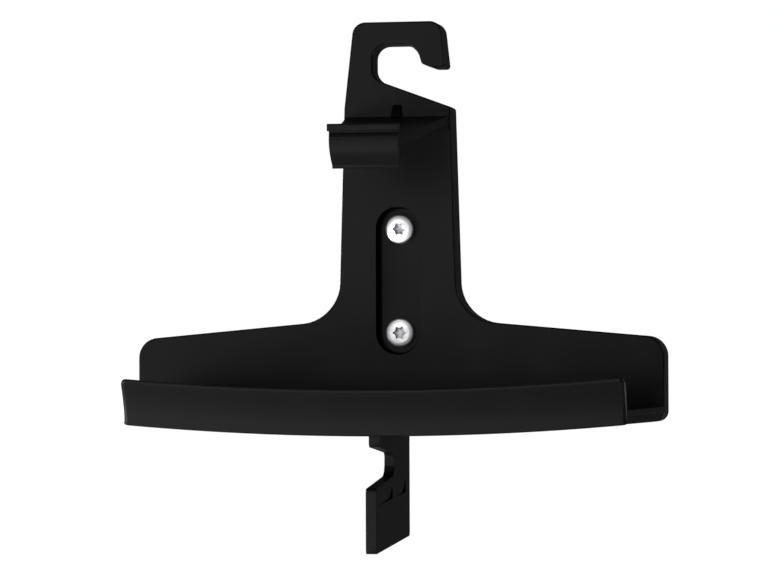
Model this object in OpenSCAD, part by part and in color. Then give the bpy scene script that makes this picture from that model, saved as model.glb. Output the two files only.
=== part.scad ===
// Wall bracket for a battery charger: one moulded plate with a hanging hook, a snap clip,
// a tray and a cable fin, held to the wall by two pan-head screws in a sunk pocket.
// Millimetres. X is right, Z is up and the front faces -Y. The wall is the plane y = 0,
// and the origin lies on it midway between the two screws.

/* [Plate] */
// Width of the plate across both wings
plate_w = 175; // [160:1:190]
// Depth of the plate, from the wall to its front face
plate_depth = 11; // [10:0.5:14]
// Thickness of the plate's moulded walls
wall_t = 2.5; // [2:0.1:3]
// Distance from the origin down to the middle of the bottom edge
plate_drop = 50.1; // [46:0.1:56]
// Radius of the bottom edge, which the tray follows
edge_r = 900; // [700:10:2000]
// Distance from the origin down to the wings' top edge at their outer ends
wing_end_drop = 18.9; // [16:0.1:24]
// Distance from the origin down to the wings' top edge at the neck
wing_root_drop = 12.8; // [10:0.1:15]
// Radius of the wings' upper outer corners
wing_corner_r = 6.5; // [3:0.5:10]
// Radius of the plate's lower corners
foot_corner_r = 3; // [1:0.5:5]
// Width of the neck where it meets the wings
neck_base_w = 39.4; // [34:0.1:46]
// Width of the neck at its top, where the hook begins
neck_top_w = 35.4; // [32:0.1:39]
// Height of the neck's top above the origin
neck_top_z = 56.7; // [50:0.1:66]
// Radius between the neck and the wings
root_r = 13.5; // [5:0.5:16]

/* [Hook] */
// Height of the hook above the neck
hook_h = 28.2; // [27:0.1:40]
// Width of the hook at its top
hook_top_w = 29.1; // [27:0.1:33]
// Radius of the hook's outer corners
hook_corner_r = 4.2; // [1:0.1:6]
// Distance from the middle to the closed side of the hook's opening
eye_left = 8.2; // [6:0.1:9]
// Distance from the middle to the tip, on the open side
eye_right = 8.1; // [7:0.1:10]
// Height of the bar above the opening
eye_bar = 7.5; // [5:0.1:9]
// Radius of the opening's corners
eye_r = 4.4; // [1:0.1:5]
// Rise of the opening's slanted lower edge, from its mouth to its back
eye_rise = 9.6; // [5:0.1:12]
// Height of the mouth at the side of the hook
mouth_h = 12.8; // [8:0.1:14]
// Width of the level part of the tip's lower edge
tip_flat = 4.1; // [3:0.1:5]
// Rise of the tip's lower edge, from its level part to the opening
tip_rise = 1.5; // [0:0.1:3]
// How far the tip's inner edge leans in towards the top of the opening
tip_lean = 2; // [0:0.1:4]
// Radius of the opening's corner above the tip
tip_eye_r = 5.5; // [3:0.1:6.5]
// Radius of the bend in the tip's lower edge
tip_bend_r = 4; // [1:0.5:6]
// Radius of the tip's corners and of the mouth's lower corner
tip_r = 1.2; // [0.5:0.1:2]
// Gap between the hook's back and the wall
hook_relief = 1.5; // [0.5:0.1:3]

/* [Screws and pocket] */
// Distance between the two screws
screw_gap = 34; // [30:0.5:36]
// Radius of the pocket's round ends, around each screw
pocket_r = 7.25; // [6:0.05:8]
// Depth of the pocket below the plate's front face
pocket_depth = 5.4; // [4:0.1:6]
// Diameter of the screw holes
hole_d = 5.4; // [5.2:0.1:6]
// Diameter of the bosses around the screw holes
boss_d = 11; // [9:0.5:13]
// Diameter of the screw heads
head_d = 9.5; // [8:0.1:11]
// Height of the screw heads
head_h = 3; // [2.2:0.1:4]
// Diameter of the screws over their threads
shank_d = 4.8; // [4:0.1:5]
// Diameter of the screws' plain part, between their heads and their threads
plain_d = 3.6; // [3:0.1:3.8]
// Distance from the wall to the start of the threads
thread_gap = 0.5; // [0.2:0.1:2]
// Length of the screws below their heads
screw_len = 26; // [20:1:50]
// Height of the heads' upright edge, below their dome
head_edge_h = 1; // [0.5:0.1:1.5]
// Length of the screws' points
point_len = 6; // [4:0.5:10]
// Width of the star recess in the screw heads, over its points
star_d = 4.7; // [3.5:0.1:6]
// Width of the star recess between its points
star_waist_d = 3.4; // [2:0.1:3.4]
// Depth of the star recess
star_depth = 1.9; // [1:0.1:2]

/* [Tray] */
// Clear depth of the tray, from the plate to the front wall at the floor
bay_depth = 41.4; // [30:0.1:60]
// Length of the front wall
tray_w = 161.8; // [130:0.1:175]
// Thickness of the tray's floor
floor_t = 1.9; // [1.5:0.1:3]
// Height of the floor's top surface above the bottom edge
floor_rise = 4.6; // [3.5:0.1:8]
// Height of the front wall
front_h = 14.9; // [12:0.1:25]
// Thickness of the front wall
front_t = 2.6; // [2:0.1:3.5]
// How far the front wall leans forward over its height
front_lean = 5.6; // [0:0.1:7]
// Radius of the front wall's corners
front_r = 2; // [1:0.1:4]

/* [Clip] */
// Height of the arm's top above the origin, at the plate
arm_z = 53.7; // [46:0.1:54]
// Thickness of the arm
arm_t = 2.6; // [2:0.1:4]
// How far the arm drops from the plate to the lip
arm_drop = 10.4; // [5:0.1:14]
// Distance from the plate to the back of the lip, where the arm joins it
arm_reach = 54; // [40:0.1:70]
// Width of the lip
lip_w = 22; // [15:0.1:30]
// Thickness of the lip
lip_t = 2.3; // [2:0.1:3]
// Height of the lip above the arm
lip_up = 4.6; // [3:0.1:8]
// Length of the lip below the arm
lip_down = 6.6; // [4:0.1:12]
// How far the lower lip leans back towards the plate
lip_tuck = 3.4; // [0:0.1:5]
// How far the bead along the lip's top stands forward
bead_out = 1.2; // [0.4:0.1:2]
// Height of that bead
bead_h = 2.3; // [1.5:0.1:3]
// How far the bead stands out past each end of the lip
bead_side = 0.6; // [0.2:0.1:2]
// How far the lip's belly swells forward, and how far its back is set in from the arm's end
lip_step = 0.4; // [0.1:0.1:1]
// Radius of the lip's belly
belly_r = 1.5; // [0.5:0.1:2.5]
// Radius of the lip's and the bead's edges
lip_r = 0.7; // [0.2:0.1:0.7]
// Size of the gusset on top of the arm
gusset = 4; // [2:0.1:6]
// Thickness of the gusset
gusset_t = 3; // [2:0.1:4]

/* [Cable fin] */
// Thickness of the fin
fin_t = 3.4; // [2.5:0.1:5]
// Distance from the wall to the fin's front edge
fin_reach = 56.8; // [50:0.1:75]
// Distance from the plate's bottom edge down to the fin's lower front corner
fin_drop = 37; // [35:0.1:50]
// Rise of the fin's bottom edge, from its front to the wall
fin_rise = 3.3; // [0:0.1:8]
// Height of the fin's front tab
tab_h = 20.6; // [12:0.1:23]
// How far the tab's top falls from the stem to the front
tab_fall = 3.5; // [0:0.1:6]
// Distance from the wall to the fin's stem, the back of the cable notch
stem_reach = 26.1; // [18:0.1:32]
// Distance from the bottom edge down to the notch's roof, at the stem
roof_drop = 5.8; // [4:0.1:8.5]
// How far the roof rises from the stem to the front
roof_rise = 2.4; // [0:0.1:3]
// Distance from the roof's front to the front wall's lower edge
roof_back = 1.8; // [1:0.1:8]
// Radius at the lower back of the notch
notch_r = 3; // [0.5:0.1:3]
// Radius at the upper back of the notch
roof_r = 1.6; // [0.5:0.1:2]
// Radius of the fin's outer corners
fin_r = 1.2; // [0.3:0.1:2]
// Depth of the two steps sunk in each side of the tab
step_in = 0.7; // [0.3:0.1:1]
// Distance from the tab's front to the first step
step_front = 5.6; // [3:0.1:8]
// Length between the two steps
step_gap = 6.8; // [4:0.1:8]
// Distance from the wall to the second step
step_back = 6.8; // [4:0.1:10]
// Distance from the tab's top down to the steps' ledge
ledge_drop = 5.6; // [4:0.1:8]
// Height over which each step fades out
step_fade = 4.5; // [2:0.1:4.5]

/* [Back] */
// Ribs across each wing
wing_ribs = 4; // [2:1:6]
// Thickness of the ribs
rib_t = 1.8; // [1.2:0.1:2.5]
// Gap between the ribs and the wall
rib_gap = 0.6; // [0.2:0.1:1.5]
// Radius of the hollow's corners
hollow_r = 1; // [0.5:0.1:2]
// Diameter of the seat at the origin, which rests on the wall
seat_d = 9; // [6:0.5:12]

/* [Hidden] */

plastic = [0.06, 0.06, 0.065];
zinc = [0.82, 0.83, 0.84];

// Small lap by which joined shapes run into each other, and cutters run past a face
lap = 0.5;
// Straight steps in the bottom edge's half, in each rounded corner, and round a circle
edge_steps = 12;
corner_steps = 8;
$fn = 64;
// Points of the star recess in a screw head
star_points = 6;

front_y = -plate_depth;
pocket_floor_y = front_y + pocket_depth;
tub_back_y = pocket_floor_y + wall_t;
floor_z = -plate_drop + floor_rise;
front_top_z = -plate_drop + front_h;
front_in_y = front_y - bay_depth;
front_slope = front_lean / front_h;
front_foot_y = front_in_y - front_t + front_slope * floor_rise;
fin_foot_z = -plate_drop - fin_drop;
tab_top_z = fin_foot_z + tab_h;
notch_foot_z = tab_top_z + tab_fall;
roof_z = -plate_drop - roof_drop;
hook_top_z = neck_top_z + hook_h;
eye_top_z = hook_top_z - eye_bar;
eye_back_z = neck_top_z + eye_rise;
lip_y = front_y - arm_reach;
lip_z = arm_z - arm_drop;

function unit(v) = v / norm(v);
function turned(v, a) = [v.x * cos(a) - v.y * sin(a), v.x * sin(a) + v.y * cos(a)];

// The points that round the corner b between its neighbours a and c, with radius r
function corner_arc(a, b, c, r) =
    let (u = unit(a - b))
    let (v = unit(c - b))
    let (half = acos(u * v) / 2)
    let (centre = b + unit(u + v) * r / sin(half))
    let (from = b + u * r / tan(half) - centre)
    let (to = b + v * r / tan(half) - centre)
    let (turn = atan2(from.x * to.y - from.y * to.x, from * to))
    [for (i = [0:corner_steps]) centre + turned(from, turn * i / corner_steps)];

function flat(p) = [p[0], p[1]];

// An outline from corners [across, up, radius]; a radius of 0 leaves a sharp corner
function rounded(corners) =
    let (n = len(corners))
    [for (i = [0:n - 1])
        let (c = corners[i])
        each c[2] > 0
            ? corner_arc(flat(corners[(i + n - 1) % n]), flat(c), flat(corners[(i + 1) % n]), c[2])
            : [flat(c)]];

// Height of a curve parallel to the bottom edge, lifted above it in the middle, at x
function edge_z(x, lift) =
    let (r = edge_r - lift)
    lift - plate_drop + r - sqrt(r * r - x * x);

// The same curve as corners from -half to half, with radius r at its ends
function edge_corners(half, lift, r) =
    [for (i = [-edge_steps:edge_steps])
        let (x = half * i / edge_steps)
        [x, edge_z(x, lift), abs(i) == edge_steps ? r : 0]];

function mirrored(corners) =
    [for (i = [len(corners) - 1:-1:0]) [-corners[i][0], corners[i][1], corners[i][2]]];

// Half the neck's width, and half the hook's, at height z
function neck_half(z) =
    let (t = (z + wing_root_drop) / (neck_top_z + wing_root_drop))
    neck_base_w / 2 + (neck_top_w - neck_base_w) / 2 * t;
function hook_half(z) =
    neck_top_w / 2 + (hook_top_w - neck_top_w) / 2 * (z - neck_top_z) / hook_h;

// Right-hand corners of the wing and the neck, set in from the plate's outline
function wing_corners(inset) = [
    [plate_w / 2 - inset, -wing_end_drop - inset, wing_corner_r - inset],
    [neck_half(-wing_root_drop) - inset, -wing_root_drop - inset, root_r + inset]
];

// Draws an outline of [x, z] points as a solid between two depths
module front_solid(y_back, y_front) {
    translate([0, y_back, 0])
        rotate([90, 0, 0])
            linear_extrude(y_back - y_front)
                children();
}

// Draws an outline of [y, z] points as a solid of width w about the middle plane
module side_solid(w) {
    rotate([90, 0, 90])
        linear_extrude(w, center = true)
            children();
}

module plate_outline() {
    tip_z = neck_top_z + mouth_h;
    hook_corners = [
        [neck_top_w / 2, neck_top_z, tip_r],
        [-eye_left, eye_back_z, eye_r],
        [-eye_left, eye_top_z, eye_r],
        [eye_right - tip_lean, eye_top_z, tip_eye_r],
        [eye_right, tip_z + tip_rise, tip_r],
        [hook_half(tip_z) - tip_flat, tip_z, tip_bend_r],
        [hook_half(tip_z), tip_z, tip_r],
        [hook_top_w / 2, hook_top_z, hook_corner_r],
        [-hook_top_w / 2, hook_top_z, hook_corner_r],
        [-neck_top_w / 2, neck_top_z, 0]
    ];
    polygon(rounded(concat(
        edge_corners(plate_w / 2, 0, foot_corner_r),
        wing_corners(0),
        hook_corners,
        mirrored(wing_corners(0))
    )));
}

// The hollow behind the plate: one wall thickness inside its outline, and two below the hook
module hollow_outline() {
    neck_corners = [
        [neck_half(neck_top_z) - wall_t, neck_top_z - 2 * wall_t, hollow_r],
        [-neck_half(neck_top_z) + wall_t, neck_top_z - 2 * wall_t, hollow_r]
    ];
    polygon(rounded(concat(
        edge_corners(plate_w / 2 - wall_t, wall_t, hollow_r),
        wing_corners(wall_t),
        neck_corners,
        mirrored(wing_corners(wall_t))
    )));
}

// A slot shape that joins the two screws, of radius r at each end
module stadium(r) {
    for (side = [-1, 1])
        translate([0, side * screw_gap / 2])
            circle(r);
    square([2 * r, screw_gap], center = true);
}

module at_screws(y) {
    for (side = [-1, 1])
        translate([0, y, side * screw_gap / 2])
            rotate([90, 0, 0])
                children();
}

// Upright ribs across the wings, and one rib up the middle
module back_ribs() {
    tub_half = pocket_r + wall_t;
    pitch = (plate_w / 2 - wall_t - tub_half) / (wing_ribs + 1);
    front_solid(-rib_gap, front_y + wall_t / 2) {
        for (side = [-1, 1])
            for (i = [1:wing_ribs])
                translate([side * (tub_half + i * pitch) - rib_t / 2, -plate_drop])
                    square([rib_t, plate_drop]);
        translate([-fin_t / 2, -plate_drop])
            square([fin_t, plate_drop + neck_top_z]);
    }
}

// What stands inside the hollow: the ribs, the pocket's tub, the bosses and the seat
module back_filling() {
    back_ribs();
    front_solid(tub_back_y, front_y)
        stadium(pocket_r + wall_t);
    at_screws(0)
        cylinder(d = boss_d, h = plate_depth);
    rotate([90, 0, 0])
        cylinder(d = seat_d, h = plate_depth);
}

module plate() {
    difference() {
        front_solid(0, front_y)
            plate_outline();
        difference() {
            front_solid(lap, front_y + wall_t)
                hollow_outline();
            back_filling();
        }
        front_solid(lap, -hook_relief)
            translate([-neck_top_w, neck_top_z])
                square([2 * neck_top_w, hook_h + lap]);
    }
}

// The floor narrows from the plate's corners to the front wall's ends, and stops inside that wall
module tray_floor() {
    back_half = plate_w / 2;
    front_half = tray_w / 2;
    front_mid_y = front_foot_y + front_t / 2;
    end_y = front_mid_y - front_slope * plate_drop;
    outline = concat(
        edge_corners(back_half, floor_rise, 0),
        mirrored([for (c = edge_corners(back_half, floor_rise - floor_t, 0)) [-c[0], c[1], 0]])
    );
    intersection() {
        front_solid(front_y + lap, end_y)
            polygon(rounded(outline));
        side_solid(plate_w)
            polygon([
                [front_y + lap, -plate_drop],
                [front_y + lap, 0],
                [end_y, 0],
                [front_mid_y, -plate_drop]
            ]);
        translate([0, 0, -plate_drop])
            linear_extrude(plate_drop)
                polygon([
                    [-back_half, front_y + lap],
                    [back_half, front_y + lap],
                    [back_half, front_y],
                    [front_half, front_in_y],
                    [front_half, end_y],
                    [-front_half, end_y],
                    [-front_half, front_in_y],
                    [-back_half, front_y]
                ]);
    }
}

module tray_front() {
    half = tray_w / 2;
    outline = concat(edge_corners(half, 0, front_r), mirrored(
        [for (c = edge_corners(half, front_h, front_r)) [-c[0], c[1], c[2]]]));
    rise = front_h + edge_z(half, 0) + plate_drop;
    lean = front_slope * rise;
    intersection() {
        front_solid(front_y, front_foot_y - lean - lap)
            polygon(rounded(outline));
        side_solid(tray_w)
            polygon([
                [front_foot_y + front_t, -plate_drop],
                [front_foot_y + front_t - lean, -plate_drop + rise],
                [front_foot_y - lean, -plate_drop + rise],
                [front_foot_y, -plate_drop]
            ]);
    }
}

// The arm narrows from the neck to the lip and slopes down towards the front
module clip_arm() {
    root_half = neck_half(arm_z);
    lip_half = lip_w / 2;
    slope = arm_drop / arm_reach;
    intersection() {
        side_solid(2 * root_half)
            polygon([
                [front_y + lap, arm_z],
                [front_y, arm_z],
                [lip_y, lip_z],
                [lip_y, lip_z - arm_t],
                [front_y - arm_t, arm_z - arm_t * (1 + slope)],
                [front_y, arm_z - 2 * arm_t],
                [front_y + lap, arm_z - 2 * arm_t]
            ]);
        linear_extrude(2 * arm_z)
            polygon([
                [-root_half, front_y + lap],
                [root_half, front_y + lap],
                [root_half, front_y],
                [lip_half, lip_y],
                [-lip_half, lip_y],
                [-root_half, front_y]
            ]);
    }
}

// The lip's section: a bead along its top, a groove, a belly, and a tucked-in lower part
module clip_lip() {
    top_z = lip_z + lip_up;
    foot_z = lip_z - arm_t - lip_down;
    belly_z = lip_z - arm_t / 2;
    back_y = lip_y - lip_step;
    front_lip_y = lip_y - lip_t;
    bead_y = front_lip_y - bead_out;
    side_solid(lip_w)
        polygon(rounded([
            [lip_y + lap, lip_z, 0],
            [back_y, top_z - lip_r, 0],
            [front_lip_y, top_z - lip_r, 0],
            [front_lip_y, top_z - bead_h, 0],
            [front_lip_y - lip_step, belly_z, belly_r],
            [front_lip_y + lip_tuck, foot_z, lip_r],
            [back_y + lip_tuck, foot_z, lip_r],
            [lip_y + lap, lip_z - arm_t, 0]
        ]));
    side_solid(lip_w + 2 * bead_side)
        polygon(rounded([
            [back_y, top_z, lip_r],
            [bead_y, top_z, lip_r],
            [bead_y, top_z - bead_h, lip_r],
            [back_y, top_z - bead_h, lip_r]
        ]));
}

module clip_gusset() {
    side_solid(gusset_t)
        polygon([
            [front_y + lap, arm_z - lap],
            [front_y + lap, arm_z + gusset],
            [front_y, arm_z + gusset],
            [front_y - gusset, arm_z - lap]
        ]);
}

module fin_outline() {
    roof_front_y = front_foot_y + roof_back;
    face_y = front_y + wall_t / 2;
    polygon(rounded([
        [0, -plate_drop + lap, 0],
        [0, fin_foot_z + fin_rise, fin_r],
        [-fin_reach, fin_foot_z, fin_r],
        [-fin_reach, tab_top_z, fin_r],
        [-stem_reach, notch_foot_z, notch_r],
        [-stem_reach, roof_z, roof_r],
        [roof_front_y, roof_z + roof_rise, fin_r],
        [roof_front_y, floor_z - floor_t / 2, 0],
        [face_y, floor_z - floor_t / 2, 0],
        [face_y, -plate_drop + lap, 0]
    ]));
}

// Two wedge-shaped steps in one side of the tab, parallel to its bottom edge
module fin_steps() {
    fall = atan(fin_rise / fin_reach);
    spans = [
        [fin_reach - step_front, stem_reach + step_gap / 2],
        [stem_reach - step_gap / 2, step_back]
    ];
    for (span = spans)
        translate([fin_t / 2, 0, fin_foot_z + fin_rise + tab_h - ledge_drop])
            rotate([fall, 0, 0])
                translate([0, -span[1], 0])
                    rotate([90, 0, 0])
                        linear_extrude(span[0] - span[1])
                            polygon([[-step_in, 0], [lap, 0], [lap, step_fade], [0, step_fade]]);
}

module cable_fin() {
    difference() {
        side_solid(fin_t)
            fin_outline();
        fin_steps();
        mirror([1, 0, 0])
            fin_steps();
    }
}

module bracket_body() {
    color(plastic)
        difference() {
            union() {
                plate();
                tray_floor();
                tray_front();
                clip_arm();
                clip_lip();
                clip_gusset();
                cable_fin();
            }
            front_solid(pocket_floor_y, front_y - lap)
                stadium(pocket_r);
            at_screws(lap)
                cylinder(d = hole_d, h = plate_depth + 2 * lap);
        }
}

// One screw along +Z, with its head's underside at z = 0 and its point below
module screw() {
    core_top_z = (head_h - star_depth) / 2;
    thread_top_z = pocket_floor_y - thread_gap;
    star = [for (i = [0:2 * star_points - 1])
        let (r = (i % 2 == 0 ? star_d : star_waist_d) / 2)
        let (a = 180 * i / star_points)
        [r * cos(a), r * sin(a)]];
    dome = [for (i = [0:corner_steps])
        let (a = 90 * i / corner_steps)
        [head_d / 2 * cos(a), head_edge_h + (head_h - head_edge_h) * sin(a)]];
    difference() {
        rotate_extrude()
            polygon(concat([[0, 0], [head_d / 2, 0]], dome));
        translate([0, 0, head_h - star_depth])
            linear_extrude(star_depth + lap)
                polygon(star);
    }
    translate([0, 0, -screw_len])
        rotate_extrude()
            polygon([
                [0, 0],
                [shank_d / 2, point_len],
                [shank_d / 2, screw_len + thread_top_z],
                [plain_d / 2, screw_len + thread_top_z],
                [plain_d / 2, screw_len + core_top_z],
                [0, screw_len + core_top_z]
            ]);
}

module mounting_screws() {
    color(zinc)
        at_screws(pocket_floor_y)
            screw();
}

bracket_body();
mounting_screws();
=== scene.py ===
"""Dresses the wall bracket for a battery charger: the moulded body, its two screws and the studio.

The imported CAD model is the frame. Metres, with X right, Z up and the front facing -Y. The wall is
the plane y = 0, and the origin lies on it midway between the two screws.
"""

import math

import bmesh
import bpy
from bpy.props import FloatProperty, FloatVectorProperty, IntProperty, PointerProperty
from bpy.types import Operator, Panel, PropertyGroup
from mathutils import Matrix, Vector


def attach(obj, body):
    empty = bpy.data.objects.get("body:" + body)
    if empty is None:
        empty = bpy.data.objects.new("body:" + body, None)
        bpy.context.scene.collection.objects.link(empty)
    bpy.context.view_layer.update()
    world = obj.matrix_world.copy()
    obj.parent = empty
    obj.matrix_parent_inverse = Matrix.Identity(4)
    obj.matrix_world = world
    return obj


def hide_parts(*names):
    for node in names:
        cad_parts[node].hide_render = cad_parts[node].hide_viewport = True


bl_info = {
    "name": "Charger mounting bracket",
    "version": (1, 0, 0),
    "blender": (4, 5, 0),
    "location": "View3D > Sidebar > Bracket",
    "description": "Builds the wall bracket, its two screws and the studio round it",
    "category": "Object",
}

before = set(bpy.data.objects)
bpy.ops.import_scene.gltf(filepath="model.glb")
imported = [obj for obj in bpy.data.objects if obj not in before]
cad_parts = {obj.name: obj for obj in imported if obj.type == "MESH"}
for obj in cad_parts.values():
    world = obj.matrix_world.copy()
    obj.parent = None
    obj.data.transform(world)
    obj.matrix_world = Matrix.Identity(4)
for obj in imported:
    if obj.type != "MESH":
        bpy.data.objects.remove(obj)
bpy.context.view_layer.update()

MM = 0.001
# Two places closer than this are the same place
SAME = 0.001 * MM
# What lies closer than this after a Boolean is one point
SLIVER = 0.002 * MM
# A cut that passes a point closer than this goes through the point
SNAP = 0.01 * MM
# How far one solid runs into the next before they are joined
LAP = 0.5 * MM
# Slices of the long parts, which let them follow the curved bottom edge
RISE_SLICES = 24


def linear(code):
    """Turns an sRGB hex colour such as #1A2B3C to the linear values that the shaders take."""
    parts = [int(code[i : i + 2], 16) / 255 for i in (1, 3, 5)]
    # The limit, slope, offset and power are those of the sRGB standard
    bent = [c / 12.92 if c <= 0.04045 else ((c + 0.055) / 1.055) ** 2.4 for c in parts]
    return (*bent, 1.0)


def length(name, millimetres, description):
    """A size that a user can change."""
    return FloatProperty(
        name=name,
        description=description,
        default=millimetres * MM,
        min=0,
        unit="LENGTH",
        precision=4,
    )


def factor(name, share, description):
    """A share of a whole that a user can change."""
    return FloatProperty(
        name=name, description=description, default=share, min=0, max=1, subtype="FACTOR"
    )


def colour(name, code, description):
    """A colour that a user can change."""
    return FloatVectorProperty(
        name=name,
        description=description,
        default=linear(code),
        size=4,
        min=0,
        max=1,
        subtype="COLOR",
    )


class PlateSizes(PropertyGroup):
    width: length("Width", 175, "Width across both wings")
    depth: length("Depth", 11, "Depth from the wall to the front face")
    wall: length("Wall", 2.5, "Thickness of the moulded walls")
    drop: length("Drop", 50.1, "From the origin down to the middle of the bottom edge")
    edge_radius: length("Bottom edge radius", 900, "Radius of the bottom edge and the tray")
    wing_end: length("Wing end", 18.9, "From the origin down to the wings' outer ends")
    wing_root: length("Wing root", 12.8, "From the origin down to the wings at the neck")
    wing_round: length("Wing corner", 6.5, "Radius of the wings' upper corners")
    foot_round: length("Foot corner", 3, "Radius of the lower corners")
    root_round: length("Neck root", 13.5, "Radius between the neck and the wings")
    neck_base: length("Neck base", 39.4, "Width of the neck at the wings")
    neck_top: length("Neck top", 35.4, "Width of the neck below the hook")
    neck_height: length("Neck height", 56.7, "From the origin up to the hook")
    rim: length("Front rim", 0.6, "Radius of the front edge all round")
    back_round: length("Back corner", 1, "Radius of the corners of the hollow back")
    rib: length("Rib", 1.8, "Thickness of the ribs behind the wings")
    rib_gap: length("Rib gap", 0.6, "Gap between the ribs and the wall")
    seat: length("Seat", 9, "Diameter of the seat that rests on the wall")
    ribs: IntProperty(name="Ribs", description="Ribs behind each wing", default=4, min=1)


class HookSizes(PropertyGroup):
    height: length("Height", 28.2, "Height above the neck")
    top_width: length("Top width", 29.1, "Width at the top")
    corner: length("Corner", 4.2, "Radius of the outer corners")
    eye_left: length("Closed side", 8.2, "From the middle to the opening's closed side")
    eye_right: length("Tip side", 8.1, "From the middle to the tip")
    eye_bar: length("Bar", 7.5, "Height of the bar above the opening")
    eye_round: length("Opening corner", 4.4, "Radius of the opening's corners")
    eye_rise: length("Opening rise", 9.6, "Rise of the opening's slanted lower edge")
    mouth: length("Mouth", 12.8, "Height of the mouth at the side")
    tip_flat: length("Tip flat", 4.1, "Width of the level part of the tip")
    tip_rise: length("Tip rise", 1.5, "Rise of the tip's lower edge to the opening")
    tip_lean: length("Tip lean", 2, "How far the tip's inner edge leans in")
    tip_eye_round: length("Opening end", 5.5, "Radius of the opening's corner above the tip")
    tip_bend: length("Tip bend", 4, "Radius of the bend in the tip's lower edge")
    tip_round: length("Tip corner", 1.2, "Radius of the tip's corners")
    relief: length("Relief", 1.5, "Gap between the hook's back and the wall")


class PocketSizes(PropertyGroup):
    radius: length("Radius", 7.25, "Radius of the pocket's round ends")
    depth: length("Depth", 5.4, "Depth below the front face")
    screw_gap: length("Screw gap", 34, "Distance between the two screws")
    hole: length("Hole", 5.4, "Diameter of the screw holes")
    boss: length("Boss", 11, "Diameter of the bosses round the holes")
    rim: length("Rim", 0.5, "Radius of the pocket's upper edge")
    cove: length("Cove", 1.2, "Radius between the pocket's wall and its floor")


class TraySizes(PropertyGroup):
    bay: length("Bay", 41.4, "From the plate to the front wall at the floor")
    width: length("Width", 161.8, "Length of the front wall")
    floor: length("Floor", 1.9, "Thickness of the floor")
    floor_rise: length("Floor rise", 4.6, "Height of the floor above the bottom edge")
    front_height: length("Front height", 14.9, "Height of the front wall")
    front: length("Front wall", 2.6, "Thickness of the front wall")
    lean: length("Lean", 5.6, "How far the front wall leans forward over its height")
    corner: length("Corner", 2, "Radius of the front wall's corners")
    lip: length("Top edge", 1.4, "Radius of the front wall's upper front edge")
    foot_edge: length("Foot edge", 0.6, "Radius of the front wall's lower front edge")
    edge: length("Edge", 0.5, "Radius of the tray's other edges")
    flare: factor("Flare", 0.75, "Share of the lean that comes from the wall's hollow curve")


class ClipSizes(PropertyGroup):
    arm_height: length("Arm height", 53.7, "Height of the arm's top at the plate")
    arm: length("Arm", 2.6, "Thickness of the arm")
    arm_drop: length("Arm drop", 10.4, "How far the arm drops to the lip")
    reach: length("Reach", 54, "From the plate to the lip")
    width: length("Lip width", 22.3, "Width of the lip")
    taper: length("Lip taper", 1, "How much narrower the lip is at its foot")
    lip: length("Lip", 2.3, "Thickness of the lip")
    up: length("Lip above", 4.6, "Height of the lip above the arm")
    down: length("Lip below", 6.6, "Length of the lip below the arm")
    tuck: length("Tuck", 3.8, "How far the lower lip leans back")
    bead_out: length("Bead out", 1.2, "How far the bead stands forward")
    bead: length("Bead", 2.3, "Height of the bead")
    bead_side: length("Bead side", 0.2, "How far the bead stands out past each end")
    step: length("Step", 1.2, "How far the belly swells forward before it is rounded")
    belly: length("Belly", 6.5, "Radius of the belly")
    groove: length("Groove", 1.2, "Depth of the groove below the bead")
    hem: length("Hem", 0.9, "Height of the upright edge at the lip's foot")
    edge: length("Edge", 0.7, "Radius of the lip's and the bead's edges")
    gusset: length("Gusset", 4, "Size of the gusset on top of the arm")
    gusset_width: length("Gusset width", 3, "Thickness of the gusset")


class FinSizes(PropertyGroup):
    thickness: length("Thickness", 3.4, "Thickness of the fin")
    reach: length("Reach", 56.8, "From the wall to the front edge")
    drop: length("Drop", 37, "From the bottom edge down to the front corner")
    rise: length("Rise", 3.3, "Rise of the bottom edge towards the wall")
    tab: length("Tab", 20.6, "Height of the front tab")
    tab_fall: length("Tab fall", 3.5, "How far the tab's top falls to the front")
    stem: length("Stem", 26.1, "From the wall to the back of the cable notch")
    roof: length("Roof", 5.8, "From the bottom edge down to the notch's roof")
    roof_rise: length("Roof rise", 2.4, "How far the roof rises to the front")
    roof_back: length("Roof back", 1.8, "From the roof's front to the front wall")
    notch_round: length("Notch corner", 4.2, "Radius at the lower back of the notch")
    roof_round: length("Roof corner", 1.6, "Radius at the upper back of the notch")
    corner: length("Corner", 1.2, "Radius of the outer corners")
    edge: length("Edge", 0.4, "Radius of the edges along both sides")
    step_in: length("Step depth", 0.7, "Depth of the two steps in each side")
    step_front: length("Step front", 5.6, "From the tab's front to the first step")
    step_gap: length("Step gap", 6.8, "Length between the two steps")
    step_back: length("Step back", 6.8, "From the wall to the second step")
    ledge: length("Ledge", 5.6, "From the tab's top down to the ledge")
    fade: length("Fade", 4.5, "Height over which each step fades out")


class ScrewSizes(PropertyGroup):
    head: length("Head", 9.5, "Diameter of the heads")
    head_height: length("Head height", 3, "Height of the heads")
    thread: length("Thread", 4.8, "Diameter over the threads")
    plain: length("Plain part", 3.6, "Diameter between the head and the thread")
    thread_gap: length("Thread gap", 0.5, "From the wall to the start of the thread")
    long: length("Length", 26, "Length below the head")
    point: length("Point", 6, "Length of the point")
    pitch: length("Pitch", 1.8, "Distance between two turns of the thread")
    root: length("Root", 3.3, "Diameter at the root of the thread")
    star: length("Star", 4.7, "Width of the star recess over its points")
    waist: length("Star waist", 3.1, "Width of the star recess between its points")
    star_depth: length("Star depth", 1.7, "Depth of the star recess at its walls")
    star_cone: length("Star cone", 0.6, "Depth of the cone in the star recess's floor")


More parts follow.
